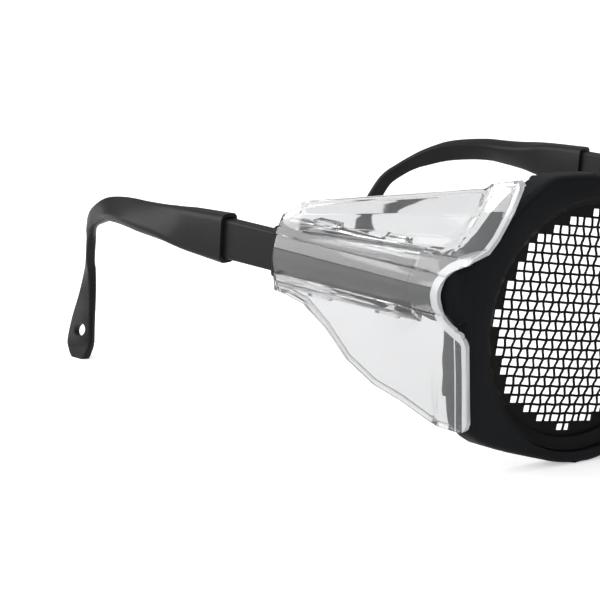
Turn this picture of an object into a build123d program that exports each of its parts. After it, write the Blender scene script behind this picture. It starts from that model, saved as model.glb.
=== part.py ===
from build123d import *
import os
from math import cos, floor, radians, sin, sqrt, tan

# Wire mesh safety goggles, folded open and standing on a table.
# Millimetres. The wearer looks along -Y, +Z is up, Z = 0 is the table.
# Everything is drawn for the wearer's left side, which is +X, and mirrored.

# Eyes and wrap of the front
eye_spacing = 77.0
wrap_angle = 17.0
rim_proud = 0.8
rim_depth = 5.3
over = 3.0

# Outline of the front, as seen by someone facing the wearer
cheek_width = 8.7
brow_width = 4.3
bridge_top = 20.0
bridge_arch = 9.0
nose_wall = 2.7
side_inset = 3.4
bridge_bend = 24.0
side_bend = 8.0
front_round = 1.6

# Lens ring and the seat that it snaps into
ring_radius = 27.0
ring_border = 2.6
ring_depth = 2.2
ring_face = 0.9
ring_slope = 1.1
seat_clearance = 0.05
seat_lip = 2.3
rim_thickness = 0.5
rim_inset = 0.4

# Woven wire mesh
mesh_pitch = 1.95
mesh_border = 3.5
mesh_turn = -7.5
mesh_dome = 1.6
wire = 0.34
wire_gap = 0.06

# Temple, its bar and the hinge
temple_height = 12.2
temple_lift = 9.5
temple_tilt = 1.6
temple_thickness = 4.4
temple_crown = 2.8
temple_seam = 20.5
temple_rear = 54.6
seam_gap = 0.15
collar_length = 1.4
collar_height = 11.0
collar_round = 1.2
bar_height = 8.5
bar_thickness = 3.2
bar_round = 0.6
bar_inset = 2.0
tongue_length = 8.0
tongue_height = 3.6
tongue_thickness = 1.8
hinge_inset = 1.4
knuckle_radius = 2.0
knuckle_height = 3.0
knuckle_gap = 0.15
knuckle_clearance = 0.3
screw_radius = 0.7
screw_clearance = 0.05
screw_head_radius = 1.3
screw_head_height = 0.8
screw_slot = 0.35

# Clear side shield
shield_wall = 1.2
shield_gap = 0.3
shield_rear = 54.4
shield_front = 5.4
bead_width = 1.1
bead_height = 0.5
bead_fade = 0.4
flange_depth = 7.4
step_depth = 2.6
step_height = 1.2
lip_reach = 2.4
notch_radius = 6.4
notch_depth = 7.2
mouth_round = 3.0
foot_inset = 2.3
top_inset = 15.6
top_sink = 0.7
top_rear_inset = 2.0
top_rear_rise = 20.9
top_tail = 5.2
top_tail_rise = 17.0
lower_inset = 3.6
lower_drop = 17.8
lower_knee_share = 0.56
clip_length = 6.0
clip_hook = 0.8
clip_raise = 0.4
clip_wall = 0.8
clip_front = 27.0
clip_back = 44.5

# Ear piece, which slides on the bar
sleeve_mouth = 69.8
sleeve_height = 10.7
sleeve_thickness = 5.2
ear_reach = 128.5
ear_inset = 16.9
ear_sink = 0.3
ear_round_share = 0.4
paddle_hole_radius = 1.6
paddle_hole_lift = 6.7
socket_clearance = 0.12
slide_travel = 8.0
slide_spare = 0.5

# Derived places
eye_x = eye_spacing / 2
front_half_width = eye_x + ring_radius * cos(radians(wrap_angle)) + cheek_width
side_reach = front_half_width - side_inset
nose_radius = ring_radius + nose_wall
ring_window = ring_radius - ring_border
lip_window = ring_radius - seat_lip
rim_radius = ring_radius - rim_inset
mesh_radius = ring_radius - mesh_border
mesh_rows = 2 * floor(mesh_radius / mesh_pitch)
brow_rise = ring_radius + brow_width
eye_rise = nose_radius
temple_z = eye_rise + temple_lift
temple_outer = front_half_width
temple_inner = temple_outer - temple_thickness
bar_centre = temple_outer - bar_inset
top_reach = temple_outer - top_inset
top_rise = brow_rise - top_sink
top_rear_reach = temple_outer - top_rear_inset
lower_reach = temple_outer - lower_inset
hinge_x = temple_inner - hinge_inset
lens_plane = Plane(
    origin=(eye_x, 0, eye_rise),
    x_dir=(cos(radians(wrap_angle)), sin(radians(wrap_angle)), 0),
    z_dir=(-sin(radians(wrap_angle)), cos(radians(wrap_angle)), 0),
)
wrap_slope = tan(radians(wrap_angle))
rim_front = -rim_proud / cos(radians(wrap_angle))
rim_rear = (rim_depth - rim_proud) / cos(radians(wrap_angle))


def at_eye(x, z):
    """A point of the front view, its height counted from the eye."""
    return (x, z + eye_rise)


def tilted(shape):
    """Turns a shape drawn level so that the temples rise towards the ears."""
    middle = Pos(0, temple_seam, temple_z)
    return middle * Rot(temple_tilt, 0, 0) * middle.inverse() * shape


# Front frame

brow_shares = [(0.27, 1.0), (0.422, 0.945), (0.564, 0.83), (0.716, 0.65)]
jaw_shares = [(0.89, -0.12), (0.858, -0.42), (0.809, -0.655), (0.635, -0.79), (0.281, -0.93)]


def front_outline():
    """Half of the outline of the front, as a face that stands in the XZ plane."""
    high = radians(172.0)
    low = radians(-140.0)
    nose_top = at_eye(eye_x + nose_radius * cos(high), nose_radius * sin(high))
    nose_side = at_eye(eye_x + nose_radius * cos(low), nose_radius * sin(low))
    temple_top = temple_lift + temple_height / 2
    temple_low = temple_lift - temple_height / 2
    bottom = at_eye(eye_x - nose_wall, -nose_radius)
    reach = front_half_width - eye_x
    brow = [at_eye(eye_x + reach * x, brow_rise * z) for x, z in brow_shares]
    jaw = [at_eye(eye_x + reach * x, nose_radius * z) for x, z in jaw_shares]
    shoulder = at_eye(side_reach, temple_top)
    lines = [
        Spline([at_eye(0, bridge_top), at_eye(eye_x, brow_rise - rim_thickness), brow[0]],
               tangents=[(1, 0), (1, 0)]),
        Spline(brow + [shoulder], tangents=[(1, 0), (1, -rim_thickness)]),
        Line(shoulder, at_eye(side_reach, temple_low)),
        Line(at_eye(side_reach, temple_low), jaw[0]),
        Spline(jaw + [bottom], tangents=[(0, -1), (-1, 0)]),
        ThreePointArc(bottom, nose_side, nose_top),
        Spline([nose_top, at_eye(0, bridge_arch)], tangents=[(0, 1), (-1, 0)]),
        Line(at_eye(0, bridge_arch), at_eye(0, bridge_top)),
    ]
    return Plane.XZ * make_face(lines)


def front_band():
    """The wrapped band that the front is cut from, as half a plan view."""
    swing = radians(wrap_angle)

    def wall(offset, bend, side, corner):
        """The bridge arc, the slanted run and the round into the temple, from the middle out."""
        toe = bend * sin(swing)
        toe_y = (toe - eye_x) * wrap_slope + offset
        nose = (0, toe_y - bend * (1 - cos(swing)))
        half = ((bend * sin(swing / 2)), nose[1] + bend * (1 - cos(swing / 2)))
        meet = (side - eye_x) * wrap_slope + offset
        back = corner * tan((radians(90.0) - swing) / 2)
        start = (side - back * cos(swing), meet - back * sin(swing))
        end = (side, meet + back)
        turn = (radians(90.0) + swing) / 2
        middle = (side - corner + corner * sin(turn), end[1] - corner * cos(turn))
        return nose, half, (toe, toe_y), start, middle, end

    outer = wall(rim_front, bridge_bend, temple_outer, side_bend)
    inner = wall(rim_rear, bridge_bend - rim_depth, temple_inner, front_round)
    stop = temple_seam + over
    lines = [
        ThreePointArc(outer[0], outer[1], outer[2]),
        Line(outer[2], outer[3]),
        ThreePointArc(outer[3], outer[4], outer[5]),
        Line(outer[5], (temple_outer, stop)),
        Line((temple_outer, stop), (temple_inner, stop)),
        Line((temple_inner, stop), inner[5]),
        ThreePointArc(inner[5], inner[4], inner[3]),
        Line(inner[3], inner[2]),
        ThreePointArc(inner[2], inner[1], inner[0]),
        Line(inner[0], outer[0]),
    ]
    return make_face(lines)


def temple_section(y):
    """The half round section of the temple: flat inside, crowned outside."""
    half = temple_height / 2
    crown = temple_outer - temple_crown
    flat = Plane.XZ.offset(-y)
    lines = [
        Line((temple_inner, temple_z - half), (crown, temple_z - half)),
        ThreePointArc((crown, temple_z - half), (temple_outer, temple_z), (crown, temple_z + half)),
        Line((crown, temple_z + half), (temple_inner, temple_z + half)),
        Line((temple_inner, temple_z + half), (temple_inner, temple_z - half)),
    ]
    return flat * make_face(lines)


def knuckle(low, high, radius):
    """A hinge barrel between two heights, counted from the middle of the temple."""
    return Pos(hinge_x, temple_seam, temple_z + low) * Cylinder(
        radius, high - low, align=(Align.CENTER, Align.CENTER, Align.MIN)
    )


def knuckle_web(low, high, reach):
    """The web that carries a barrel, towards the front for a negative reach."""
    y = min(0, reach)
    return Pos(hinge_x, temple_seam + y, temple_z + low) * Box(
        hinge_inset + bar_thickness / 2, abs(reach), high - low, align=(Align.MIN, Align.MIN, Align.MIN)
    )


middle_half = knuckle_height / 2 - knuckle_gap
outer_low = knuckle_height / 2
outer_high = outer_low + knuckle_height
knuckle_spans = [(-outer_high, -outer_low), (outer_low, outer_high)]


def half_front():
    height = brow_rise + eye_rise + over
    slab = extrude(front_outline(), amount=-(temple_seam + over)) + extrude(front_outline(), amount=eye_spacing)
    band = extrude(front_band(), amount=height)
    behind = Pos(0, rim_rear + (side_reach - eye_x) * wrap_slope, 0) * Box(
        front_half_width + over, temple_seam, height * 2, align=(Align.MIN, Align.MIN, Align.CENTER)
    )
    body = (slab & band) - behind
    leg_start = temple_seam - side_bend * 2
    leg = extrude(temple_section(leg_start), amount=-(temple_seam - seam_gap - leg_start))
    solid = body + (tilted(leg) & band)
    for low, high in knuckle_spans:
        solid += tilted(knuckle(low, high, knuckle_radius))
        solid += tilted(knuckle_web(low, high, -knuckle_radius * 2))
    gap = middle_half + knuckle_gap
    solid -= tilted(knuckle(-gap, gap, knuckle_radius + knuckle_clearance))
    solid -= tilted(knuckle(-outer_high - over, outer_high + over, screw_radius + screw_clearance))
    return solid


def eye_cuts():
    """The stepped hole of one eye: the ring's seat and the window behind it."""
    seat = lens_plane.offset(-rim_proud - over) * Circle(ring_radius + seat_clearance)
    seat_depth = rim_proud + over + ring_depth + rim_thickness
    window = lens_plane * Circle(lip_window)
    return extrude(seat, amount=seat_depth) + extrude(window, amount=rim_depth + over)


def front_frame():
    half = half_front() - eye_cuts()
    return half + mirror(half, about=Plane.YZ)


# Lens ring and mesh


def lens_ring():
    """A turned ring whose face slopes in to the mesh."""
    front = -rim_proud + ring_face
    slope = front + ring_slope
    points = [
        (ring_radius, front), (ring_radius, ring_depth), (ring_window, ring_depth),
        (ring_window, slope), (ring_radius - ring_face, front),
    ]
    profile = make_face(Polyline([(r, 0, w) for r, w in points], close=True))
    return lens_plane * revolve(profile, Axis.Z)


def row_holes(row):
    """How many whole holes lie each side of the middle in a row, counted from the middle."""
    edge = max(abs(row), abs(row + 1)) * mesh_pitch
    return floor(sqrt(max(0, mesh_radius ** 2 - edge ** 2)) / mesh_pitch)


def mesh_rim():
    """The flattened edge of the mesh, with its stepped inner edge."""
    first = -mesh_rows // 2
    rows = range(first, first + mesh_rows)
    right = []
    level = first * mesh_pitch + wire / 2
    for row in rows:
        x = row_holes(row) * mesh_pitch - wire / 2
        following = row_holes(row + 1) if row + 1 in rows else 0
        lean = 1 if following > row_holes(row) else -1
        upper = (row + 1) * mesh_pitch + lean * wire / 2
        if following == row_holes(row):
            upper = (row + 1) * mesh_pitch
        if right and right[-1][0] == x:
            right[-1] = (x, upper)
        else:
            right += [(x, level), (x, upper)]
        level = upper
    left = [(-x, y) for x, y in reversed(right)]
    hole = make_face(Polyline(right + left, close=True))
    disc = Circle(rim_radius) - Rot(0, 0, mesh_turn) * hole
    return lens_plane.offset(ring_depth) * extrude(disc, amount=rim_thickness)


def dome(x, y):
    """How far forward of its rim the mesh bulges at a point."""
    return mesh_dome * max(0, 1 - (x * x + y * y) / mesh_radius ** 2)


def woven_wires(across):
    """One set of wires, each crimped over and under the set that it crosses."""
    level = ring_depth + rim_thickness / 2
    count = mesh_rows // 2
    solids = []
    for line in range(1 - count, count):
        y = line * mesh_pitch
        reach = min(row_holes(line), row_holes(line - 1))
        end = reach * mesh_pitch - wire / 2 - wire_gap
        if reach < 1:
            continue
        xs = [-end] + [n * mesh_pitch for n in range(1 - reach, reach)] + [end]
        swings = [0] + [(-1) ** (n + line) for n in range(1 - reach, reach)] + [0]
        if across:
            offsets = [s * (wire + wire_gap * 2) for s in swings]
        else:
            offsets = [0] * len(xs)
            keep = range(0, len(xs), 3)
            xs = [xs[n] for n in keep] + ([xs[-1]] if (len(xs) - 1) % 3 else [])
            offsets = offsets[:len(xs)]
        mids = [level - dome(x, y) + o for x, o in zip(xs, offsets)]
        near = [(x, y - wire / 2, m - wire / 2) for x, m in zip(xs, mids)]
        far = [(x, y - wire / 2, m + wire / 2) for x, m in zip(xs, mids)]
        side = make_face(Polyline(near + far[::-1], close=True))
        solids.append(extrude(side, amount=wire, dir=(0, 1, 0)))
    turn = mesh_turn if across else mesh_turn + 90
    return lens_plane * Rot(0, 0, turn) * Compound(children=solids)


# Temple


def rectangle_at(y, height, thickness, x, round_by):
    """An upright rectangle with round corners, standing across the temple."""
    return Pos(x, y, temple_z) * Rot(90, 0, 0) * RectangleRounded(thickness, height, round_by)


def temple_bar():
    start = temple_seam + seam_gap
    body = extrude(temple_section(start), amount=-(temple_rear - start))
    middle = (temple_outer + temple_inner) / 2
    collar = extrude(
        rectangle_at(temple_rear, collar_height, temple_outer - temple_inner, middle, collar_round),
        amount=-collar_length,
    )
    root = rectangle_at(temple_rear, bar_height, bar_thickness, bar_centre, bar_round)
    bar = extrude(root, amount=-(sleeve_mouth - temple_rear))
    tongue = loft([
        rectangle_at(sleeve_mouth, bar_height, bar_thickness, bar_centre, bar_round),
        rectangle_at(sleeve_mouth + tongue_length, tongue_height, tongue_thickness, bar_centre, bar_round),
    ])
    solid = body + collar + bar + tongue
    for low, high in knuckle_spans:
        solid -= knuckle(low - knuckle_gap, high + knuckle_gap, knuckle_radius + knuckle_clearance)
    solid += knuckle(-middle_half, middle_half, knuckle_radius)
    solid += knuckle_web(-middle_half, middle_half, knuckle_radius * 2)
    solid -= knuckle(-outer_high, outer_high, screw_radius + screw_clearance)
    return solid


def hinge_screw():
    shank = knuckle(-outer_high, outer_high, screw_radius)
    head = knuckle(outer_high, outer_high + screw_head_height, screw_head_radius)
    top = temple_z + outer_high + screw_head_height
    slot = Pos(hinge_x, temple_seam, top) * Box(screw_head_radius * 2 + over, screw_slot, screw_slot * 2)
    return shank + head - slot


# Side shield


def squared(points, sign, depth):
    """The line of points moved square to itself: outwards by a positive depth."""
    last = len(points) - 1
    moved = []
    for n, (x, z) in enumerate(points):
        before = points[max(0, n - 1)]
        after = points[min(last, n + 1)]
        run = (after[0] - before[0], after[1] - before[1])
        length = sqrt(run[0] ** 2 + run[1] ** 2)
        moved.append((x + sign * run[1] / length * depth, z - sign * run[0] / length * depth))
    return moved


def shield_ring(y, inner, lip, sign, grow):
    """A closed ring through one wing at Y: its wall outside the inner line, and the lip turned in."""
    line = squared(inner, sign, grow)
    outer = squared(inner, sign, grow + shield_wall)
    end = outer[-1]
    lip_end = (end[0] - lip, end[1])
    lip_back = (end[0] - lip, end[1] - sign * shield_wall)
    corner = (line[-1][0], end[1] - sign * shield_wall)
    points = outer + [lip_end, lip_back, corner] + line[:-1][::-1]
    return make_face(Polyline([(x, y, z + eye_rise) for x, z in points], close=True))


upper_shares = [(0.0, 0.0), (0.04, 0.19), (0.31, 0.245), (0.52, 0.38), (0.81, 0.67), (1.0, 1.0)]
lower_places_shares = [0.36, 0.495, 0.63, 0.735, 0.845, 0.94, 1.0]
lower_drop_shares = [0.84, 0.74, 0.52, 0.2, -0.03, -0.09, -0.107]


def upper_wing():
    foot_x = temple_outer
    foot_z = temple_lift + temple_height / 2 - foot_inset
    straight_shares = [(v, v) for u, v in upper_shares]

    def line(shares, x, z):
        """The inner line of the wing, from its foot up to a point."""
        return [(foot_x + (x - foot_x) * u, foot_z + (z - foot_z) * v) for u, v in shares]

    front = line(upper_shares, top_reach, top_rise)
    flange_end = shield_front + flange_depth
    step_end = flange_end + step_depth
    rear_start = shield_rear - top_tail
    slope = (top_rise - top_rear_rise) / (rear_start - shield_front)
    step_rise = top_rise - slope * (flange_depth + step_depth) - step_height
    behind = line(upper_shares, top_reach, top_rise - slope * flange_depth)
    stepped = line(upper_shares, top_reach - step_height, step_rise)
    short = shield_wall + bead_height
    bead_end = shield_front + bead_width
    rings = [
        shield_ring(shield_front, front, short, 1, bead_height),
        shield_ring(bead_end, front, short, 1, bead_height),
        shield_ring(bead_end + bead_fade, front, short, 1, 0),
        shield_ring(flange_end, behind, short, 1, 0),
        shield_ring(step_end, stepped, lip_reach, 1, 0),
        shield_ring(rear_start, line(straight_shares, top_rear_reach, top_rear_rise), lip_reach, 1, 0),
        shield_ring(shield_rear, line(straight_shares, top_rear_reach, top_tail_rise), lip_reach, 1, 0),
    ]
    return loft(rings, ruled=True)


def lower_wing():
    foot_x = temple_outer
    foot_z = temple_lift - temple_height / 2 + foot_inset
    flange_end = shield_front + flange_depth
    step_end = flange_end + step_depth
    run = shield_rear - shield_front

    def line(share, step=0):
        """The inner line of the wing, from its foot down to a share of the drop."""
        low = -lower_drop * share
        lean = (foot_x - lower_reach + step) * (foot_z - low) / (foot_z + lower_drop)
        return [(foot_x, foot_z), (foot_x - lean * lower_knee_share, (foot_z + low) / 2), (foot_x - lean, low)]

    short = shield_wall + bead_height
    bead_end = shield_front + bead_width
    rings = [
        shield_ring(shield_front, line(1), short, -1, bead_height),
        shield_ring(bead_end, line(1), short, -1, bead_height),
        shield_ring(bead_end + bead_fade, line(1), short, -1, 0),
        shield_ring(flange_end, line(1), short, -1, 0),
        shield_ring(step_end, line(1, step_height), lip_reach, -1, 0),
    ]
    for place, share in zip(lower_places_shares, lower_drop_shares):
        rings.append(shield_ring(shield_front + run * place, line(share, step_height), lip_reach, -1, 0))
    return loft(rings, ruled=True)


def channel_section(y, grow):
    """The half tube outside the temple, grown by a distance from the temple's own section."""
    half = temple_height / 2 + grow
    crown = temple_outer - temple_crown
    lines = [
        Line((temple_inner + clip_wall, temple_z - half), (crown, temple_z - half)),
        ThreePointArc((crown, temple_z - half), (temple_outer + grow, temple_z), (crown, temple_z + half)),
        Line((crown, temple_z + half), (temple_inner + clip_wall, temple_z + half)),
        Line((temple_inner + clip_wall, temple_z + half), (temple_inner + clip_wall, temple_z - half)),
    ]
    return Plane.XZ.offset(-y) * make_face(lines)


def clips():
    """Four small hooks that hold the channel on the temple."""
    hooks = []
    edge = temple_height / 2 + shield_gap
    for y in (clip_front, clip_back):
        for sign in (1, -1):
            top = Pos(temple_inner - shield_gap - clip_wall, y - clip_length / 2, temple_z + sign * edge) * Box(
                temple_crown, clip_length, shield_wall + clip_raise,
                align=(Align.MIN, Align.MIN, Align.MIN if sign > 0 else Align.MAX),
            )
            hook = Pos(temple_inner - shield_gap - clip_wall, y - clip_length / 2, temple_z + sign * (edge + clip_wall)) * Box(
                clip_wall, clip_length, clip_wall + shield_gap + clip_hook,
                align=(Align.MIN, Align.MIN, Align.MAX if sign > 0 else Align.MIN),
            )
            hooks += [top, hook]
    return hooks


def side_shield():
    start = shield_front + flange_depth / 2
    length = shield_rear - start
    channel = extrude(channel_section(start, shield_gap + shield_wall), amount=-length)
    channel -= extrude(channel_section(start, shield_gap), amount=-length)
    wrap_start = temple_seam - knuckle_radius * 2 + step_depth
    front_clear = Pos(0, 0, temple_z) * Box(
        temple_outer, wrap_start, temple_height * 2, align=(Align.MIN, Align.MIN, Align.CENTER)
    )
    channel -= front_clear
    notch = Rot(0, 90, 0) * Cylinder(notch_radius, temple_outer)
    notch += Box(temple_outer, notch_radius * 2, notch_radius * 2, align=(Align.CENTER, Align.MAX, Align.CENTER))
    notch = Pos(temple_outer, shield_front + notch_depth - notch_radius, temple_z) * notch
    flare = Box(temple_outer, over + mouth_round, (notch_radius + mouth_round) * 2)
    flare = Pos(temple_outer, shield_front + (mouth_round - over) / 2, temple_z) * flare
    for sign in (1, -1):
        height = temple_z + sign * (notch_radius + mouth_round)
        flare -= Pos(temple_outer, shield_front + mouth_round, height) * Rot(0, 90, 0) * Cylinder(
            mouth_round, temple_outer
        )
    notch += flare
    solid = channel + upper_wing() + lower_wing() - notch
    for piece in clips():
        solid += piece
    return solid


# Ear piece

# One column for each section: how far back, inward and down, and the section's height, thickness and twist
ear_run_shares = [0.0, 0.174, 0.26, 0.332, 0.429, 0.513, 0.612, 0.705, 0.794, 0.845, 0.893, 0.944, 0.985, 0.998, 1.0,
                  0.998, 0.986, 0.97, 0.947]
ear_inset_shares = [0.0, 0.0, 0.0, 0.0, 0.012, 0.053, 0.166, 0.302, 0.444, 0.527, 0.645, 0.817, 0.947, 1.0, 0.964,
                    0.893, 0.817, 0.785, 0.751]
ear_drop_shares = [0.0, 0.0, 0.0, 0.0, 0.0, 0.0, 0.016, 0.045, 0.099, 0.139, 0.191, 0.271, 0.414, 0.499, 0.652,
                   0.784, 0.901, 0.957, 1.0]
ear_tall_shares = [1.0, 0.885, 0.79, 0.705, 0.645, 0.595, 0.54, 0.485, 0.42, 0.355, 0.325, 0.335, 0.365, 0.41, 0.485,
                   0.59, 0.66, 0.53, 0.2]
ear_thick_shares = [1.0, 0.96, 0.905, 0.845, 0.77, 0.71, 0.655, 0.595, 0.54, 0.5, 0.47, 0.44, 0.42, 0.41, 0.405, 0.41,
                    0.42, 0.42, 0.38]
ear_twists = [0, 2, 18, 32, 40, 41, 36, 24, 16, 22, 32, 38, 40, 32, 10, -5, -12, -8, -4]


def ear_places():
    """The middle line of the ear piece, from its mouth over the ear and down to the table."""
    drop = temple_z + (ear_reach - temple_seam) * tan(radians(temple_tilt)) + ear_sink
    places = []
    for run, inset, fall in zip(ear_run_shares, ear_inset_shares, ear_drop_shares):
        y = sleeve_mouth + (ear_reach - sleeve_mouth) * run
        places.append(Vector(bar_centre - ear_inset * inset, y, temple_z - drop * fall))
    return places


def ear_directions(places, n):
    """Which way the ear piece runs at a section, and which way its broad side stands there."""
    along = Vector(0, 1, 0)
    if n > 1:
        along = (places[min(len(places) - 1, n + 1)] - places[n - 1]).normalized()
    flat = Vector(1, 0, 0).cross(along).normalized()
    turn = radians(ear_twists[n])
    return along, flat * cos(turn) - along.cross(flat) * sin(turn)


def ear_sections():
    """The chamfered section of the ear piece at each of its places."""
    places = ear_places()
    sections = []
    for n, place in enumerate(places):
        along, broad = ear_directions(places, n)
        tall = sleeve_height * ear_tall_shares[n] / 2
        thick = sleeve_thickness * ear_thick_shares[n] / 2
        corner = thick * ear_round_share
        corners = []
        for across, up in ((1, 1), (1, -1), (-1, -1), (-1, 1)):
            side = (up * (tall - corner), across * thick)
            end = (up * tall, across * (thick - corner))
            corners += [end, side] if across == up else [side, end]
        plane = Plane(origin=place, x_dir=broad, z_dir=along)
        sections.append(plane * make_face(Polyline(corners, close=True)))
    return sections


def ear_socket():
    """The pocket that takes the bar: straight for the travel, then narrowing like the tongue."""
    grow = socket_clearance * 2
    straight = sleeve_mouth + slide_travel + slide_spare
    wide = (bar_height + grow, bar_thickness + grow, bar_centre, bar_round)
    narrow = (tongue_height + grow, tongue_thickness + grow, bar_centre, bar_round)
    pocket = extrude(rectangle_at(sleeve_mouth, *wide), amount=-(straight - sleeve_mouth))
    return pocket + loft([rectangle_at(straight, *wide), rectangle_at(straight + tongue_length, *narrow)])


def ear_piece():
    places = ear_places()
    wide = len(places) - 3
    above, below = places[wide - 1], places[wide]
    share = (above.Z - places[-1].Z - paddle_hole_lift) / (above.Z - below.Z)
    along, broad = ear_directions(places, wide)
    plane = Plane(origin=above + (below - above) * share, x_dir=along, z_dir=along.cross(broad))
    hole = plane * Cylinder(paddle_hole_radius, sleeve_height)
    return loft(ear_sections(), ruled=True) - ear_socket() - hole


def on_table(shape):
    """Cuts a shape off flat at the table."""
    block = Box(front_half_width * 3, ear_reach * 3, temple_z * 2, align=(Align.CENTER, Align.CENTER, Align.MAX))
    return shape - block


def pieces():
    """Every node of the part by name, drawn with the origin between the eyes on the table."""
    found = {"front_frame": front_frame()}
    singles = {
        "lens_ring": lens_ring(),
        "mesh_rim": mesh_rim(),
        "mesh_weft": woven_wires(True),
        "mesh_warp": woven_wires(False),
        "hinge_screw": tilted(hinge_screw()),
        "temple_bar": tilted(temple_bar()),
        "side_shield": tilted(side_shield()),
        "ear_piece": on_table(tilted(ear_piece())),
    }
    for name, shape in singles.items():
        found[name + "_left"] = shape
        found[name + "_right"] = mirror(shape, about=Plane.YZ)
    return found


os.makedirs("parts", exist_ok=True)
made = pieces()
front_y = min(point.Y for point in made["front_frame"].tessellate(screw_clearance)[0])
back_y = max(point.Y for point in made["ear_piece_left"].tessellate(screw_clearance)[0])
middle_y = (front_y + back_y) / 2
for name, shape in made.items():
    placed = Pos(0, -middle_y, 0) * shape
    placed.label = name
    export_step(placed, "parts/" + name + ".step")
print("eye line ahead of the middle:", middle_y)
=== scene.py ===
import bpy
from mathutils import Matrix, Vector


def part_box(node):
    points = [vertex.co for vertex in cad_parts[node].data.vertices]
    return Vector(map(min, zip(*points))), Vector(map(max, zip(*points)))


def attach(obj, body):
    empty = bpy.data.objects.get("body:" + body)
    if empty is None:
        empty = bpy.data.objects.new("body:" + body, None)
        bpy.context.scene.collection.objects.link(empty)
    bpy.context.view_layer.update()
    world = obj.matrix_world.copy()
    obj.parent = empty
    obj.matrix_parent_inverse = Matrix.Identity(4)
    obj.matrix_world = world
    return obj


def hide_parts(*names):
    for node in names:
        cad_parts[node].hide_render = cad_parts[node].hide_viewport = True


bl_info = {
    "name": "Wire Mesh Goggles",
    "version": (1, 0, 0),
    "blender": (4, 5, 0),
    "location": "View3D > Sidebar > Goggles",
    "description": "Dresses the packed goggles with moulded, woven and clear finishes",
    "category": "Object",
}

from math import atan2, cos, degrees, floor, pi, radians, sin, sqrt, tan

import bmesh
import bpy
from bpy.props import FloatProperty, FloatVectorProperty, IntProperty, PointerProperty
from bpy.types import Operator, Panel, PropertyGroup
from mathutils import Euler, Matrix, Vector

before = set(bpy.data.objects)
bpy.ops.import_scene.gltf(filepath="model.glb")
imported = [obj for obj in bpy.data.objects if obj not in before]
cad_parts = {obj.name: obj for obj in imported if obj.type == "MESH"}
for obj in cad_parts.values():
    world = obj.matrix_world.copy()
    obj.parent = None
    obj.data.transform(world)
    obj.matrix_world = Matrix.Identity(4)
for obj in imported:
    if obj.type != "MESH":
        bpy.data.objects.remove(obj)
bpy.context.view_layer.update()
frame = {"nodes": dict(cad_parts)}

# The places of the CAD's own pieces, in metres and radians
SIDES = (("left", 1), ("right", -1))
RING_LOW, RING_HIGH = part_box("lens_ring_left")
EYE_Z = (RING_LOW.z + RING_HIGH.z) / 2
EYE_X = 0.0385
EYE_Y = -0.060476
WRAP = radians(17.0)
TILT = radians(1.6)
HINGE_BACK = 0.0205
HINGE_Y = EYE_Y + HINGE_BACK
TEMPLE_Z = EYE_Z + 0.0095

# Points nearer to each other than this are merged
SAME_SPOT = 1e-6

# Where the rounding of the front and of the bars keeps clear of the lens seats and the hinges
SEAT_REACH = 0.0283
FRONT_BACK = HINGE_Y - 0.006
BAR_FRONT = HINGE_Y + 0.007

# Section of a lens ring: radius and depth behind the plane of the lens
RING_SECTION = [
    (0.0269, 0.0001), (0.0269, 0.0022), (0.0244, 0.0022), (0.0244, 0.00128),
    (0.0245, 0.00115), (0.02597, 0.00017), (0.02612, 0.0001),
]
RING_STEPS = 96

# Wires of a mesh: how far their crimp sways, and where it fades in before the rim, in holes
MESH_LEVEL = 0.00245
MESH_RADIUS = 0.0235
LAST_WIRE = 11
WIRE_TAIL = 0.0003
WIRE_SWAY = 1.05
CRIMP_START = 0.2
CRIMP_RUN = 2.2
LEAST_CRIMP = 0.25

# The front edge band of a shield that gets the painted glow, seen from its side: angle and distance from the
# middle of its notch.
# The other half mirrors this one.
NOTCH_Y = 0.0062
HALF_EDGE = [
    (0.0, 0.0081), (18.0, 0.0081), (36.0, 0.0081), (54.0, 0.0081),
    (73.0, 0.0082), (83.0, 0.0086), (88.0, 0.0095), (89.43, 0.03),
]
EDGE_TABLE = [(-turn, reach) for turn, reach in reversed(HALF_EDGE[1:])] + HALF_EDGE
EDGE_DEPTH = 0.0095

# Front corners of a shield, lower and upper, with their radius, and the painted highlight line down the
# lower flange
CORNERS = ((-1, 0.003), (1, 0.0022))
CORNER_CUTS = (22.5, 45.0, 67.5)
FLANGE_HIGHLIGHT_BACK = 0.0021
FLANGE_HIGHLIGHT_WIDTH = 0.0003
FLANGE_DROP = 0.0055

# Ear piece: its mouth and reach behind the eyes, its sizes at the mouth, its socket and its cord hole
EAR_MOUTH = 0.0698
EAR_REACH = 0.1285
EAR_INSET = 0.0169
EAR_TALL = 0.0107
EAR_THICK = 0.0052
EAR_SINK = 0.0003
EAR_ROUND = 0.3
EAR_WALL = 0.00088
SOCKET_STEPS = ((0.0085, 1.0, 1.0), (0.008, 0.43, 0.6))
BAR_CENTRE = 0.07102
CORD_HOLE = (0.0566, 0.068508, 0.006408)
CORD_WAY = (0.950668, -0.160181, 0.265656)
CORD_RADIUS = 0.0016
DRILL_DEPTH = 0.01

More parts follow.
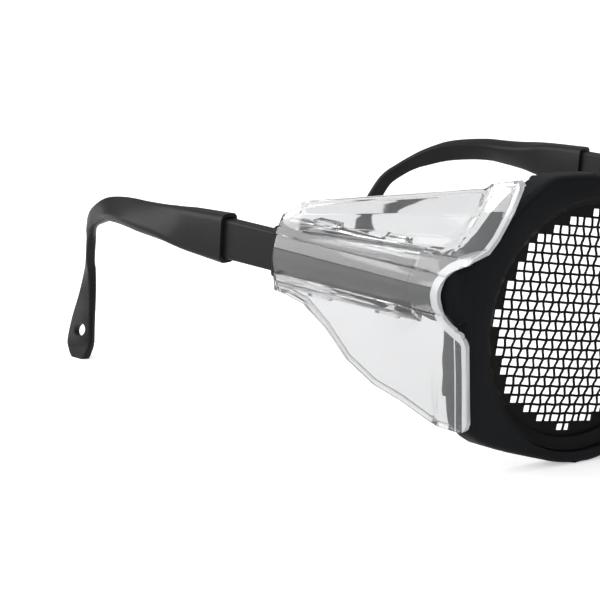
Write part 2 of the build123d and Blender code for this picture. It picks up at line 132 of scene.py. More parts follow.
# One row for each section: run back, inset, drop, height, thickness (as shares) and twist in degrees
EAR_TABLE = [
    (0.0, 0.0, 0.0, 1.0, 1.0, 0),
    (0.174, 0.0, 0.0, 0.885, 0.96, 2),
    (0.26, 0.0, 0.0, 0.79, 0.905, 18),
    (0.332, 0.0, 0.0, 0.705, 0.845, 32),
    (0.429, 0.012, 0.0, 0.645, 0.77, 40),
    (0.513, 0.053, 0.0, 0.595, 0.71, 41),
    (0.612, 0.166, 0.016, 0.54, 0.655, 36),
    (0.705, 0.302, 0.045, 0.485, 0.595, 24),
    (0.794, 0.444, 0.099, 0.42, 0.54, 16),
    (0.845, 0.527, 0.139, 0.355, 0.5, 22),
    (0.893, 0.645, 0.191, 0.325, 0.47, 32),
    (0.944, 0.817, 0.271, 0.335, 0.44, 38),
    (0.985, 0.947, 0.414, 0.365, 0.42, 40),
    (0.998, 1.0, 0.499, 0.41, 0.41, 32),
    (1.0, 0.964, 0.652, 0.485, 0.405, 10),
    (0.998, 0.893, 0.784, 0.59, 0.41, -5),
    (0.986, 0.817, 0.892, 0.66, 0.42, -12),
    (0.979, 0.8, 0.93, 0.645, 0.42, -10),
    (0.969, 0.784, 0.962, 0.57, 0.42, -8),
    (0.958, 0.768, 0.985, 0.42, 0.4, -6),
    (0.95, 0.755, 1.0, 0.24, 0.36, -4),
]

# Camera of the photo: place in metres, turn in degrees and lens in millimetres
CAMERA_SPOT = (-0.365659, -0.253322, 0.12361)
CAMERA_TURN = (76.317, -2.0707, -50.0587)
CAMERA_LENS = 114.0
SENSOR_WIDTH = 36.0

# Soft lamps: name, spot, aim, size and watts
LAMPS = (
    ("key_lamp", (-0.5, -0.6, 0.9), (0, 0, 0.03), 0.7, 2.2),
    ("top_lamp", (0.2, 0.1, 1.1), (0, 0, 0.03), 0.9, 2.5),
    ("side_lamp", (-0.81, 0.875, 0.55), (-0.07, 0, 0.04), 1.05, 16.0),
)
FLOOR_SIZE = 4.0
FLOOR_LIFT = 0.45


class GogglesSizes(PropertyGroup):
    """Sizes that a maker may want to change"""
    wire_thickness: FloatProperty(
        name="Wire thickness", description="Diameter of a mesh wire",
        default=0.00054, min=0.0001, unit="LENGTH")
    mesh_pitch: FloatProperty(
        name="Mesh pitch", description="Distance between neighbouring wires",
        default=0.00195, min=0.001, unit="LENGTH")
    mesh_dome: FloatProperty(
        name="Mesh dome", description="How far the mesh bulges forward",
        default=0.0016, min=0.0, unit="LENGTH")
    mesh_turn: FloatProperty(
        name="Mesh turn", description="How far the weave is turned in its ring",
        default=radians(-7.5), unit="ROTATION")
    front_round: FloatProperty(
        name="Front rounding", description="Rounding of the outline of the front",
        default=0.0013, min=0.0001, unit="LENGTH")
    edge_round: FloatProperty(
        name="Bar rounding", description="Rounding of the edges of the temple bars",
        default=0.00025, min=0.00005, unit="LENGTH")
    shield_round: FloatProperty(
        name="Shield edge rounding", description="Rounding of the edges of the clear shields",
        default=0.00015, min=0.00005, unit="LENGTH")
    ear_steps: IntProperty(
        name="Ear piece steps", description="Rings between two sections of an ear piece",
        default=4, min=1, max=12)


class GogglesColours(PropertyGroup):
    """Colours of the pieces and of the floor"""
    frame: FloatVectorProperty(
        name="Frame", description="Matte bluish black of the front",
        default=(0.0058, 0.0068, 0.0088), subtype="COLOR", min=0.0, max=1.0)
    ring: FloatVectorProperty(
        name="Lens rings", description="Black of the lens rings",
        default=(0.0075, 0.007, 0.0065), subtype="COLOR", min=0.0, max=1.0)
    wire: FloatVectorProperty(
        name="Wire", description="Black coat of the wire",
        default=(0.004, 0.004, 0.004), subtype="COLOR", min=0.0, max=1.0)
    temple: FloatVectorProperty(
        name="Temples and ear pieces", description="Dark grey of the temples and ear pieces",
        default=(0.0125, 0.0125, 0.0135), subtype="COLOR", min=0.0, max=1.0)
    shield: FloatVectorProperty(
        name="Side shields", description="Tint of the clear side shields",
        default=(0.85, 0.855, 0.865), subtype="COLOR", min=0.0, max=1.0)
    # Painted glow: a lighter, half-clear colour on the thick front edges of the shields, standing in for the
    # light that they gather and reflect
    painted_edge_glow: FloatVectorProperty(
        name="Shield edges", description="Light glow of the thick front edges of the side shields",
        default=(0.74, 0.75, 0.78), subtype="COLOR", min=0.0, max=1.0)
    steel: FloatVectorProperty(
        name="Screws", description="Steel of the hinge screws",
        default=(0.5, 0.5, 0.51), subtype="COLOR", min=0.0, max=1.0)
    floor: FloatVectorProperty(
        name="Floor", description="Pale floor under the goggles",
        default=(0.9, 0.9, 0.9), subtype="COLOR", min=0.0, max=1.0)


# Shared making steps


def start_material(name):
    """A new node material with its Principled shader and Object coordinates."""
    material = bpy.data.materials.new(name)
    material.use_nodes = True
    shader = material.node_tree.nodes["Principled BSDF"]
    place = material.node_tree.nodes.new("ShaderNodeTexCoord")
    return material, shader, place


def noise(material, place, scale, detail):
    """A noise texture of a given number of waves to the metre."""
    texture = material.node_tree.nodes.new("ShaderNodeTexNoise")
    texture.inputs["Scale"].default_value = scale
    texture.inputs["Detail"].default_value = detail
    material.node_tree.links.new(place.outputs["Object"], texture.inputs["Vector"])
    return texture


def ramp(material, source, low, high):
    """A colour ramp between two colours, driven by a texture."""
    blend = material.node_tree.nodes.new("ShaderNodeValToRGB")
    blend.color_ramp.elements[0].position = 0.35
    blend.color_ramp.elements[1].position = 0.65
    blend.color_ramp.elements[0].color = low
    blend.color_ramp.elements[1].color = high
    material.node_tree.links.new(source, blend.inputs["Fac"])
    return blend


def grey(value):
    """A grey as a node colour."""
    return (value, value, value, 1.0)


def tinted(colour, share):
    """A share of a colour as a node colour."""
    return (*[c * share for c in colour], 1.0)


def moulded_plastic(name, colour, roughness, grain, depth, shine):
    """Moulded plastic: slightly uneven colour and sheen, and a grain of so many waves to the metre."""
    material, shader, place = start_material(name)
    links = material.node_tree.links
    cloud = noise(material, place, 90.0, 3.0)
    shade = ramp(material, cloud.outputs["Fac"], tinted(colour, 0.86), tinted(colour, 1.14))
    links.new(shade.outputs["Color"], shader.inputs["Base Color"])
    fine = noise(material, place, grain, 2.0)
    sheen = ramp(material, fine.outputs["Fac"], grey(roughness - 0.05), grey(roughness + 0.06))
    links.new(sheen.outputs["Color"], shader.inputs["Roughness"])
    bump = material.node_tree.nodes.new("ShaderNodeBump")
    bump.inputs["Strength"].default_value = depth
    bump.inputs["Distance"].default_value = 0.0001
    links.new(fine.outputs["Fac"], bump.inputs["Height"])
    links.new(bump.outputs["Normal"], shader.inputs["Normal"])
    shader.inputs["Specular IOR Level"].default_value = shine
    return material


def merged_copy(node):
    """A CAD node's triangles merged into one clean mesh."""
    work = bmesh.new()
    work.from_mesh(frame["nodes"][node].data)
    bmesh.ops.remove_doubles(work, verts=work.verts, dist=SAME_SPOT)
    bmesh.ops.dissolve_limit(work, angle_limit=radians(0.6), verts=work.verts, edges=work.edges)
    bmesh.ops.recalc_face_normals(work, faces=work.faces)
    return work


def round_edges(work, offset, segments, sharpest, wanted):
    """Rounds the outward edges that are sharper than an angle and that a test picks."""
    edges = [
        edge for edge in work.edges
        if len(edge.link_faces) == 2 and edge.is_convex
        and edge.calc_face_angle(0.0) > sharpest and wanted(edge)
    ]
    bmesh.ops.bevel(
        work, geom=edges, offset=offset, offset_type="OFFSET", affect="EDGES", segments=segments,
        profile=0.5, material=-1, clamp_overlap=False)


def put_in_order(parts, place):
    """Sorts vertices or faces by their places, so that each run gives the same mesh."""
    rank = {part: n for n, part in enumerate(sorted(parts, key=place))}
    parts.sort(key=rank.get)


def finish_mesh(work, name, crease):
    """Turns a bmesh into an object with soft faces and edges that are sharp past an angle."""
    put_in_order(work.verts, lambda vert: tuple(vert.co))
    put_in_order(work.faces, lambda face: tuple(face.calc_center_median()))
    for face in work.faces:
        face.smooth = True
    for edge in work.edges:
        edge.smooth = len(edge.link_faces) != 2 or edge.calc_face_angle(0.0) < crease
    mesh = bpy.data.meshes.new(name)
    work.to_mesh(mesh)
    work.free()
    if "custom_normal" in mesh.attributes:
        mesh.attributes.remove(mesh.attributes["custom_normal"])
    item = bpy.data.objects.new(name, mesh)
    bpy.context.scene.collection.objects.link(item)
    return item


def dress(item, material, body, slot, *nodes):
    """Gives a piece its material and body, and hides the CAD nodes that it stands for."""
    item.data.materials.append(material)
    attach(item, body)
    if nodes:
        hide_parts(*nodes)


def paint(node, material):
    """Gives a CAD node a new material."""
    item = frame["nodes"][node]
    item.data.materials.clear()
    item.data.materials.append(material)


def lens_place(sign):
    """The matrix from a lens's own plane to the goggles: its third axis looks back."""
    across = Vector((cos(WRAP), sin(WRAP), 0.0))
    back = Vector((-sin(WRAP), cos(WRAP), 0.0))
    down = back.cross(across)
    turn = Matrix((across, down, back)).transposed().to_4x4()
    return Matrix.Diagonal((sign, 1.0, 1.0, 1.0)) @ Matrix.Translation((EYE_X, EYE_Y, EYE_Z)) @ turn


def temple_place():
    """The matrix that tilts a temple about its seam, for the left side."""
    middle = Matrix.Translation((0.0, HINGE_Y, TEMPLE_Z))
    return middle @ Matrix.Rotation(TILT, 4, "X") @ middle.inverted()


# Front frame


class GOGGLES_OT_front(Operator):
    """Make the moulded front with its rounded outline"""
    bl_idname = "goggles.make_front"
    bl_label = "Front frame"

    def execute(self, context):
        sizes = context.scene.goggles_sizes
        colours = context.scene.goggles_colours
        black = moulded_plastic(
            "matte_black_moulding", colours.frame, roughness=0.42, grain=5200.0, depth=0.3, shine=0.12)
        work = merged_copy("front_frame")

        def outline(edge):
            """Picks a corner between a wall and a front or back face, clear of lens seats and hinges."""
            spot = (edge.verts[0].co + edge.verts[1].co) / 2
            run = (abs(spot.x) - EYE_X, spot.z - EYE_Z)
            outside = sqrt(run[0] ** 2 + run[1] ** 2) > SEAT_REACH
            lean = sorted(abs(face.normal.y) for face in edge.link_faces)
            return spot.y < FRONT_BACK and outside and lean[0] < 0.4 and lean[1] > 0.7

        round_edges(work, sizes.front_round, 4, radians(50.0), outline)
        front = finish_mesh(work, "front_frame_moulding", radians(32.0))
        dress(front, black, "front", "frame", "front_frame")
        return {"FINISHED"}


# Lens rings


class GOGGLES_OT_rings(Operator):
    """Turn the two lens rings"""
    bl_idname = "goggles.make_rings"
    bl_label = "Lens rings"

    def execute(self, context):
        colours = context.scene.goggles_colours
        black = moulded_plastic(
            "ring_black", colours.ring, roughness=0.42, grain=5200.0, depth=0.3, shine=0.1)
        for side, sign in SIDES:
            work = bmesh.new()
            made = [work.verts.new((radius, 0.0, depth)) for radius, depth in RING_SECTION]
            edges = [work.edges.new((made[n - 1], made[n])) for n in range(len(made))]
            bmesh.ops.spin(
                work, geom=made + edges, cent=(0, 0, 0), axis=(0, 0, 1), angle=2 * pi, steps=RING_STEPS,
                use_merge=True)
            bmesh.ops.remove_doubles(work, verts=work.verts, dist=SAME_SPOT)
            bmesh.ops.transform(work, matrix=lens_place(sign), verts=work.verts)
            bmesh.ops.recalc_face_normals(work, faces=work.faces)
            ring = finish_mesh(work, "lens_ring_turned_" + side, radians(40.0))
            dress(ring, black, "front", "ring", "lens_ring_" + side)
        return {"FINISHED"}


# Woven mesh


def row_holes(row, pitch):
    """Whole holes each side of the middle in one row of the mesh."""
    edge = max(abs(row), abs(row + 1)) * pitch
    return floor(sqrt(max(0.0, MESH_RADIUS ** 2 - edge ** 2)) / pitch)


def wire_points(line, sizes, lift):
    """The control points of one wire on the dome, crimped at each crossing and flat near its ends."""
    pitch = sizes.mesh_pitch
    reach = min(row_holes(line, pitch), row_holes(line - 1, pitch))
    y = line * pitch
    points = [(-reach * pitch - WIRE_TAIL, y, 0.0)]
    for n in range(1 - reach, reach):
        x = n * pitch
        holes_left = (MESH_RADIUS - sqrt(x * x + y * y)) / pitch
        crimp = max(LEAST_CRIMP, min(1.0, (holes_left - CRIMP_START) / CRIMP_RUN))
        sway = (-1) ** (n + line) * lift * crimp * sizes.wire_thickness * WIRE_SWAY
        points.append((x, y, sway))
    points.append((reach * pitch + WIRE_TAIL, y, 0.0))
    bulge = sizes.mesh_dome
    return [
        (x, y, MESH_LEVEL - bulge * max(0.0, 1 - (x * x + y * y) / MESH_RADIUS ** 2) + sway)
        for x, y, sway in points
    ]


def weave(name, sizes, lift, turn, place):
    """One set of round wires as a curve object whose place is in its points."""
    curve = bpy.data.curves.new(name, "CURVE")
    curve.dimensions = "3D"
    curve.bevel_depth = sizes.wire_thickness / 2
    curve.bevel_resolution = 1
    curve.resolution_u = 4
    curve.use_fill_caps = True
    spot = place @ Matrix.Rotation(turn, 4, "Z")
    for line in range(-LAST_WIRE, LAST_WIRE + 1):
        points = wire_points(line, sizes, lift)
        if len(points) < 3:
            continue
        spline = curve.splines.new("NURBS")
        spline.points.add(len(points) - 1)
        for point, co in zip(spline.points, points):
            point.co = (*(spot @ Vector(co)), 1.0)
        spline.order_u = 3
        spline.use_endpoint_u = True
    item = bpy.data.objects.new(name, curve)
    bpy.context.scene.collection.objects.link(item)
    return item


class GOGGLES_OT_mesh(Operator):
    """Weave the two wire meshes and finish their pressed rims"""
    bl_idname = "goggles.weave_mesh"
    bl_label = "Wire mesh"

    def execute(self, context):
        sizes = context.scene.goggles_sizes
        colours = context.scene.goggles_colours
        coat = moulded_plastic(
            "coated_wire", colours.wire, roughness=0.38, grain=9000.0, depth=0.2, shine=0.12)
        pressed = moulded_plastic(
            "pressed_mesh_rim", colours.ring, roughness=0.5, grain=3000.0, depth=0.4, shine=0.1)
        for side, sign in SIDES:
            place = lens_place(sign)
            weft = weave("woven_weft_" + side, sizes, 1, sizes.mesh_turn, place)
            warp = weave("woven_warp_" + side, sizes, 1, sizes.mesh_turn + pi / 2, place)
            dress(weft, coat, "front", "mesh", "mesh_weft_" + side)
            dress(warp, coat, "front", "mesh", "mesh_warp_" + side)
            paint("mesh_rim_" + side, pressed)
        return {"FINISHED"}


# Temples and hinges


def turned_steel(tint):
    """Bright steel with the fine uneven polish of turning."""
    steel, shader, place = start_material("turned_steel")
    shader.inputs["Metallic"].default_value = 1.0
    brushed = noise(steel, place, 2600.0, 2.0)
    tone = ramp(steel, brushed.outputs["Fac"], tinted(tint, 0.8), (*tint, 1.0))
    steel.node_tree.links.new(tone.outputs["Color"], shader.inputs["Base Color"])
    rough = ramp(steel, brushed.outputs["Fac"], grey(0.25), grey(0.42))
    steel.node_tree.links.new(rough.outputs["Color"], shader.inputs["Roughness"])
    return steel


class GOGGLES_OT_temples(Operator):
    """Finish the temple bars and the hinge screws"""
    bl_idname = "goggles.make_temples"
    bl_label = "Temples"

    def execute(self, context):
        sizes = context.scene.goggles_sizes
        colours = context.scene.goggles_colours
        satin = moulded_plastic(
            "satin_grey_temple", colours.temple, roughness=0.4, grain=4200.0, depth=0.2, shine=0.16)
        steel = turned_steel(colours.steel)
        for side, sign in SIDES:
            work = merged_copy("temple_bar_" + side)
            round_edges(
                work, sizes.edge_round, 3, radians(40.0),
                lambda edge: min(vert.co.y for vert in edge.verts) > BAR_FRONT)
            bar = finish_mesh(work, "temple_moulding_" + side, radians(32.0))
            dress(bar, satin, "temple_" + side, "temple", "temple_bar_" + side)
            paint("hinge_screw_" + side, steel)
        return {"FINISHED"}


# Side shields


def clear_plastic(name, tint, clearness, roughness):
    """Clear plastic with a little uneven tint and polish."""
    material, shader, place = start_material(name)
    links = material.node_tree.links
    shader.inputs["Transmission Weight"].default_value = clearness
    shader.inputs["IOR"].default_value = 1.58
    cloud = noise(material, place, 60.0, 2.0)
    blend = ramp(material, cloud.outputs["Fac"], tinted(tint, 0.98), (*tint, 1.0))
    links.new(blend.outputs["Color"], shader.inputs["Base Color"])
    polish = ramp(material, cloud.outputs["Fac"], grey(roughness), grey(roughness + 0.03))
    links.new(polish.outputs["Color"], shader.inputs["Roughness"])
    return material


def slice_faces(work, faces, spot, normal):
    """Cuts some faces along a plane without changing their shape."""
    parts = dict.fromkeys(faces)
    for face in faces:
        parts.update(dict.fromkeys([*face.edges, *face.verts]))
    bmesh.ops.bisect_plane(work, geom=list(parts), plane_co=spot, plane_no=normal)


def edge_lines():
    """The sides of the painted glow band: from and to angle, a spot on each and its outward direction."""
    found = []
    for (low, first), (high, second) in zip(EDGE_TABLE, EDGE_TABLE[1:]):
        a = Vector((0, cos(radians(low)), sin(radians(low)))) * first
        b = Vector((0, cos(radians(high)), sin(radians(high)))) * second
        run = b - a
        found.append((low, high, a, Vector((0, run.z, -run.y)).normalized()))
    return found


def mark_painted_glow_band(work, middle):
    """Cuts the front edge band off the wings and the channel, and gives its faces the second material: a
    painted glow standing in for the light that the thick clear edges gather and reflect.
    """
    def way(face):
        """The angle of a face about the middle of the notch."""
        spot = face.calc_center_median() - middle
        return degrees(atan2(spot.z, spot.y))

    def near():
        """The faces that reach into the depth of the band."""
        return [face for face in work.faces if min(vert.co.y for vert in face.verts) < middle.y + EDGE_DEPTH]

    lines = edge_lines()
    for low, high, at, normal in lines[1:]:
        slice_faces(work, near(), middle, Vector((0, -sin(radians(low)), cos(radians(low)))))
    for low, high, at, normal in lines:
        slice_faces(work, [face for face in near() if low < way(face) < high], middle + at, normal)
    for face in work.faces:
        if face.material_index == 1:
            continue
        spot = face.calc_center_median() - middle
        inside = spot.y < 0 or any(
            low <= way(face) <= high and (spot - at).dot(normal) < 0 for low, high, at, normal in lines)
        face.material_index = int(inside and spot.y < EDGE_DEPTH)


def paint_flange_highlight(work, middle, sign):
    """Paints a thin highlight line down the outside of the lower wing's flange with the painted glow
    material, standing in for the light line that the flange's step shows.
    """
    level = middle.y + FLANGE_HIGHLIGHT_BACK

    def outer(y):
        """The clear outside faces of the flange that reach past a place."""
        return [
            face for face in work.faces
            if face.material_index == 0 and face.normal.x * sign > 0.3
            and face.calc_center_median().z < middle.z - FLANGE_DROP
            and min(vert.co.y for vert in face.verts) < y < max(vert.co.y for vert in face.verts)
        ]

    for y in (level, level + FLANGE_HIGHLIGHT_WIDTH):
        slice_faces(work, outer(y), Vector((0, y, 0)), Vector((0, 1, 0)))
    for face in outer(level + FLANGE_HIGHLIGHT_WIDTH / 2):
        if max(vert.co.y for vert in face.verts) < level + FLANGE_HIGHLIGHT_WIDTH * 1.1:
            face.material_index = 1


def round_corners(work):
    """Rounds the front corner of each wing and closes the cuts with faces of the painted glow material."""
    front = min(vert.co.y for vert in work.verts)
    ahead = [vert.co.z for vert in work.verts if vert.co.y < front + 0.001]
    for sign, radius in CORNERS:
        end = max(ahead) if sign > 0 else min(ahead)
        middle = Vector((0, front + radius, end - sign * radius))
        for turn in CORNER_CUTS:
            normal = Vector((0, -cos(radians(turn)), sign * sin(radians(turn))))
            cut = bmesh.ops.bisect_plane(
                work, geom=work.verts[:] + work.edges[:] + work.faces[:], plane_co=middle + normal * radius,
                plane_no=normal, clear_outer=True)["geom_cut"]
            rim = [item for item in cut if isinstance(item, bmesh.types.BMEdge) and item.is_boundary]
            for face in bmesh.ops.holes_fill(work, edges=rim, sides=0)["faces"]:
                face.material_index = 1


class GOGGLES_OT_shields(Operator):
    """Make the two clear side shields"""
    bl_idname = "goggles.make_shields"
    bl_label = "Side shields"

    def execute(self, context):
        sizes = context.scene.goggles_sizes
        colours = context.scene.goggles_colours
        clear = clear_plastic("clear_polished_plastic", colours.shield, clearness=0.96, roughness=0.02)
        # The second material paints a glow on the thick front edges: lighter and less clear, standing in for
        # the light that they gather and reflect
        light = clear_plastic("painted_glow_edge_plastic", colours.painted_edge_glow, clearness=0.3, roughness=0.2)
        level = temple_place()
        middle = Vector((0, EYE_Y + NOTCH_Y, TEMPLE_Z))
        for side, sign in SIDES:
            work = merged_copy("side_shield_" + side)
            bmesh.ops.transform(work, matrix=level.inverted(), verts=work.verts)
            round_edges(work, sizes.shield_round, 2, radians(50.0), lambda edge: edge.calc_length() > 0.0006)
            round_corners(work)
            mark_painted_glow_band(work, middle)
            paint_flange_highlight(work, middle, sign)
            bmesh.ops.transform(work, matrix=level, verts=work.verts)
            bmesh.ops.recalc_face_normals(work, faces=work.faces)
            shield = finish_mesh(work, "clear_shield_" + side, radians(36.0))
            dress(shield, clear, "temple_" + side, "shield", "side_shield_" + side)
            shield.data.materials.append(light)
        return {"FINISHED"}


# Ear pieces


def eased(a, b, c, d, t):
    """A value a share t of the way from b to c, on a curve that also runs through a and d."""
    bend = 2 * a - 5 * b + 4 * c - d
    lift = 3 * b - a - 3 * c + d
    return 0.5 * (2 * b + (c - a) * t + bend * t ** 2 + lift * t ** 3)


def smooth_rows(rows, steps):
    """Rows with others eased in between them, so that a curve runs through all of them."""
    found = []
    last = len(rows) - 1
    for n in range(last):
        near = (rows[max(0, n - 1)], rows[n], rows[n + 1], rows[min(last, n + 2)])
        for step in range(steps):
            found.append([eased(*values, step / steps) for values in zip(*near)])
    return found + [list(rows[last])]


def rounded_loop(work, tall, thick, corner, place):
    """Adds a loop of edges in the shape of a rectangle with round corners."""
    made = bmesh.ops.create_circle(work, cap_ends=True, segments=4, radius=sqrt(0.5))
    bmesh.ops.rotate(work, cent=(0, 0, 0), matrix=Matrix.Rotation(pi / 4, 3, "Z"), verts=made["verts"])
    bmesh.ops.scale(work, vec=(tall, thick, 1.0), verts=made["verts"])
    bmesh.ops.bevel(
        work, geom=made["verts"], offset=corner, offset_type="OFFSET", affect="VERTICES", segments=3,
        profile=0.5, material=-1, clamp_overlap=False)
    face = work.faces[:][0]
    verts = list(face.verts)
    edges = list(face.edges)
    bmesh.ops.transform(work, matrix=place, verts=verts)
    bmesh.ops.delete(work, geom=[face], context="FACES_ONLY")
    return edges


def ear_loops(work, rows, steps):
    """Adds the loops of the left ear piece along its bend; the first few look straight back."""
    drop = TEMPLE_Z + (EAR_REACH - HINGE_BACK) * tan(TILT) + EAR_SINK
    places = [
        Vector((
            BAR_CENTRE - EAR_INSET * inset,
            EYE_Y + EAR_MOUTH + (EAR_REACH - EAR_MOUTH) * run,
            TEMPLE_Z - drop * fall,
        ))
        for run, inset, fall, *shape in rows
    ]
    loops = []
    for n, (spot, row) in enumerate(zip(places, rows)):
        along = Vector((0, 1, 0))
        if n > steps:
            along = (places[min(len(places) - 1, n + 1)] - places[n - 1]).normalized()
        flat = Vector((1, 0, 0)).cross(along).normalized()
        tall, thick, twist = row[3:]
        turn = radians(twist)
        broad = flat * cos(turn) - along.cross(flat) * sin(turn)
        place = Matrix((broad, along.cross(broad), along)).transposed().to_4x4()
        place.translation = spot
        depth = EAR_THICK * thick
        loops.append(rounded_loop(work, EAR_TALL * tall, depth, depth * EAR_ROUND, place))
    return loops


def open_socket(work, mouth):
    """Sinks the socket for the bar and its tongue into the mouth of a sleeve."""
    bmesh.ops.inset_region(work, faces=[mouth], thickness=EAR_WALL, use_even_offset=True)
    deep = mouth
    for depth, tall, thick in SOCKET_STEPS:
        deep = bmesh.ops.extrude_discrete_faces(work, faces=[deep])["faces"][0]
        bmesh.ops.translate(work, vec=(0, depth, 0), verts=deep.verts)
        centre = Matrix.Translation(deep.calc_center_median())
        shrink = centre @ Matrix.Diagonal((thick, 1, tall, 1)) @ centre.inverted()
        bmesh.ops.transform(work, matrix=shrink, verts=deep.verts)


def cut_at_table(work):
    """Cuts off what reaches under the table and closes the cut."""
    cut = bmesh.ops.bisect_plane(
        work, geom=work.verts[:] + work.edges[:] + work.faces[:], plane_co=(0, 0, 0), plane_no=(0, 0, -1),
        clear_outer=True)
    rim = [item for item in cut["geom_cut"] if isinstance(item, bmesh.types.BMEdge)]
    if rim:
        bmesh.ops.contextual_create(work, geom=rim)


def drill(work, spot, way):
    """A new mesh: the given one with the cord hole through it."""
    body = bpy.data.meshes.new("undrilled")
    work.to_mesh(body)
    work.free()
    part = bpy.data.objects.new("undrilled", body)
    bpy.context.scene.collection.objects.link(part)
    drill_work = bmesh.new()
    place = way.to_track_quat("Z", "Y").to_matrix().to_4x4()
    place.translation = spot
    bmesh.ops.create_cone(
        drill_work, cap_ends=True, segments=32, radius1=CORD_RADIUS, radius2=CORD_RADIUS,
        depth=DRILL_DEPTH, matrix=place)
    bit_mesh = bpy.data.meshes.new("drill_bit")
    drill_work.to_mesh(bit_mesh)
    drill_work.free()
    bit = bpy.data.objects.new("drill_bit", bit_mesh)
    bpy.context.scene.collection.objects.link(bit)
    cut = part.modifiers.new("hole", "BOOLEAN")
    cut.operation = "DIFFERENCE"
    cut.solver = "EXACT"
    cut.object = bit
    drilled = bpy.data.meshes.new_from_object(part.evaluated_get(bpy.context.evaluated_depsgraph_get()))
    result = bmesh.new()
    result.from_mesh(drilled)
    bpy.data.objects.remove(part)
    bpy.data.objects.remove(bit)
    for mesh in (body, bit_mesh, drilled):
        bpy.data.meshes.remove(mesh)
    return result


class GOGGLES_OT_ears(Operator):
    """Loft the two ear pieces round their bend and down to the table"""
    bl_idname = "goggles.make_ears"
    bl_label = "Ear pieces"

    def execute(self, context):
        sizes = context.scene.goggles_sizes
        colours = context.scene.goggles_colours
        satin = moulded_plastic(
            "satin_grey_ear_piece", colours.temple, roughness=0.38, grain=4200.0, depth=0.2, shine=0.16)
        rows = smooth_rows(EAR_TABLE, sizes.ear_steps)
        for side, sign in SIDES:
            mirror = Matrix.Diagonal((sign, 1, 1, 1))
            work = bmesh.new()
            loops = ear_loops(work, rows, sizes.ear_steps)
            for first, second in zip(loops, loops[1:]):
                bmesh.ops.bridge_loops(work, edges=first + second)
            open_socket(work, bmesh.ops.contextual_create(work, geom=loops[0])["faces"][0])
            bmesh.ops.contextual_create(work, geom=loops[-1])
            bmesh.ops.transform(work, matrix=mirror @ temple_place(), verts=work.verts)
            cut_at_table(work)
            bmesh.ops.remove_doubles(work, verts=work.verts, dist=SAME_SPOT)
            bmesh.ops.recalc_face_normals(work, faces=work.faces)
            work = drill(work, mirror @ Vector(CORD_HOLE), mirror @ Vector(CORD_WAY))
            ear = finish_mesh(work, "ear_piece_moulding_" + side, radians(38.0))
            dress(ear, satin, "tip_" + side, "ear", "ear_piece_" + side)
        return {"FINISHED"}


# Stage


def soft_lamp(name, spot, aim, size, watts):
    """A square soft box at a spot, aimed at a point."""
    light = bpy.data.lights.new(name, "AREA")
    light.size = size
    light.energy = watts
    item = bpy.data.objects.new(name, light)
    item.location = spot
    item.rotation_euler = (Vector(aim) - Vector(spot)).to_track_quat("-Z", "Y").to_euler()
    bpy.context.scene.collection.objects.link(item)


def photo_camera():
    """The camera at the photo's angle."""
    camera = bpy.data.cameras.new("photo_camera")
    camera.sensor_width = SENSOR_WIDTH
    camera.lens = CAMERA_LENS
    camera.clip_end = 20.0
    eye = bpy.data.objects.new("photo_camera", camera)
    eye.location = CAMERA_SPOT
    eye.rotation_euler = Euler([radians(turn) for turn in CAMERA_TURN])
    bpy.context.scene.collection.objects.link(eye)
    bpy.context.scene.camera = eye


def pale_world():
    """Surroundings that light the goggles softly from above and look white behind them."""
    world = bpy.data.worlds.new("pale_studio")
    world.use_nodes = True
    nodes = world.node_tree.nodes
    links = world.node_tree.links
    nodes.clear()
    rays = nodes.new("ShaderNodeLightPath")
    seen = nodes.new("ShaderNodeMath")
    seen.operation = "MAXIMUM"
    links.new(rays.outputs["Is Camera Ray"], seen.inputs[0])
    links.new(rays.outputs["Is Transmission Ray"], seen.inputs[1])
    way = nodes.new("ShaderNodeTexCoord")
    split = nodes.new("ShaderNodeSeparateXYZ")
    links.new(way.outputs["Generated"], split.inputs["Vector"])
    height = nodes.new("ShaderNodeValToRGB")
    height.color_ramp.elements[0].position = 0.12
    height.color_ramp.elements[0].color = grey(0.08)
    height.color_ramp.elements[1].position = 0.5
    height.color_ramp.elements[1].color = grey(1.0)
    links.new(split.outputs["Z"], height.inputs["Fac"])
    dim = nodes.new("ShaderNodeBackground")
    dim.inputs["Strength"].default_value = 0.6
    links.new(height.outputs["Color"], dim.inputs["Color"])
    bright = nodes.new("ShaderNodeBackground")
    bright.inputs["Color"].default_value = grey(1.0)
    bright.inputs["Strength"].default_value = 1.0
    mix = nodes.new("ShaderNodeMixShader")
    links.new(seen.outputs[0], mix.inputs["Fac"])
    links.new(dim.outputs[0], mix.inputs[1])
    links.new(bright.outputs[0], mix.inputs[2])
    out = nodes.new("ShaderNodeOutputWorld")
    links.new(mix.outputs[0], out.inputs["Surface"])
    bpy.context.scene.world = world


def pale_paper(tint):
    """Matte paper that the camera sees a little lighter than the lamps make it."""
    paper, shader, place = start_material("pale_paper")
    links = paper.node_tree.links
    fibre = noise(paper, place, 40.0, 2.0)
    tone = ramp(paper, fibre.outputs["Fac"], tinted(tint, 0.995), (*tint, 1.0))
    links.new(tone.outputs["Color"], shader.inputs["Base Color"])
    shader.inputs["Roughness"].default_value = 0.7
    shader.inputs["Specular IOR Level"].default_value = 0.1
    rays = paper.node_tree.nodes.new("ShaderNodeLightPath")
    lift = paper.node_tree.nodes.new("ShaderNodeMath")
    lift.operation = "MULTIPLY"
    lift.inputs[1].default_value = FLOOR_LIFT
    links.new(rays.outputs["Is Camera Ray"], lift.inputs[0])
    links.new(lift.outputs[0], shader.inputs["Emission Strength"])
    shader.inputs["Emission Color"].default_value = grey(1.0)
    return paper


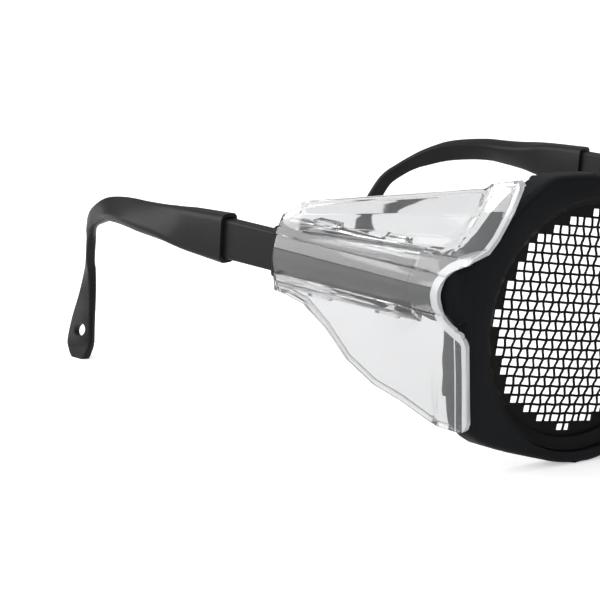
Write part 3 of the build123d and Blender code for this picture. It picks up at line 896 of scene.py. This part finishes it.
class GOGGLES_OT_stage(Operator):
    """Set the camera, the soft lamps, the pale surroundings and the floor"""
    bl_idname = "goggles.set_stage"
    bl_label = "Stage"

    def execute(self, context):
        photo_camera()
        pale_world()
        for lamp in LAMPS:
            soft_lamp(*lamp)
        work = bmesh.new()
        bmesh.ops.create_grid(work, x_segments=2, y_segments=2, size=FLOOR_SIZE)
        ground = finish_mesh(work, "pale_floor", radians(30.0))
        ground.data.materials.append(pale_paper(context.scene.goggles_colours.floor))
        context.scene.view_settings.view_transform = "Standard"
        return {"FINISHED"}


class GOGGLES_PT_panel(Panel):
    """Show the sizes, the colours and the steps"""
    bl_idname = "GOGGLES_PT_panel"
    bl_label = "Wire mesh goggles"
    bl_space_type = "VIEW_3D"
    bl_region_type = "UI"
    bl_category = "Goggles"

    def draw(self, context):
        layout = self.layout
        for group in (context.scene.goggles_sizes, context.scene.goggles_colours):
            for name in group.__annotations__:
                layout.prop(group, name)
        for step in STEPS:
            layout.operator(step.bl_idname)


STEPS = (
    GOGGLES_OT_stage, GOGGLES_OT_front, GOGGLES_OT_rings, GOGGLES_OT_mesh, GOGGLES_OT_temples,
    GOGGLES_OT_shields, GOGGLES_OT_ears,
)
CLASSES = (GogglesSizes, GogglesColours, *STEPS, GOGGLES_PT_panel)


def register():
    """Adds the property groups, the operators and the panel."""
    for each in CLASSES:
        bpy.utils.register_class(each)
    bpy.types.Scene.goggles_sizes = PointerProperty(type=GogglesSizes)
    bpy.types.Scene.goggles_colours = PointerProperty(type=GogglesColours)


def unregister():
    """Takes them away again."""
    del bpy.types.Scene.goggles_colours
    del bpy.types.Scene.goggles_sizes
    for each in reversed(CLASSES):
        bpy.utils.unregister_class(each)


def main():
    """Makes every piece and the stage."""
    register()
    bpy.ops.goggles.set_stage()
    bpy.ops.goggles.make_front()
    bpy.ops.goggles.make_rings()
    bpy.ops.goggles.weave_mesh()
    bpy.ops.goggles.make_temples()
    bpy.ops.goggles.make_shields()
    bpy.ops.goggles.make_ears()


if __name__ == "__main__":
    main()
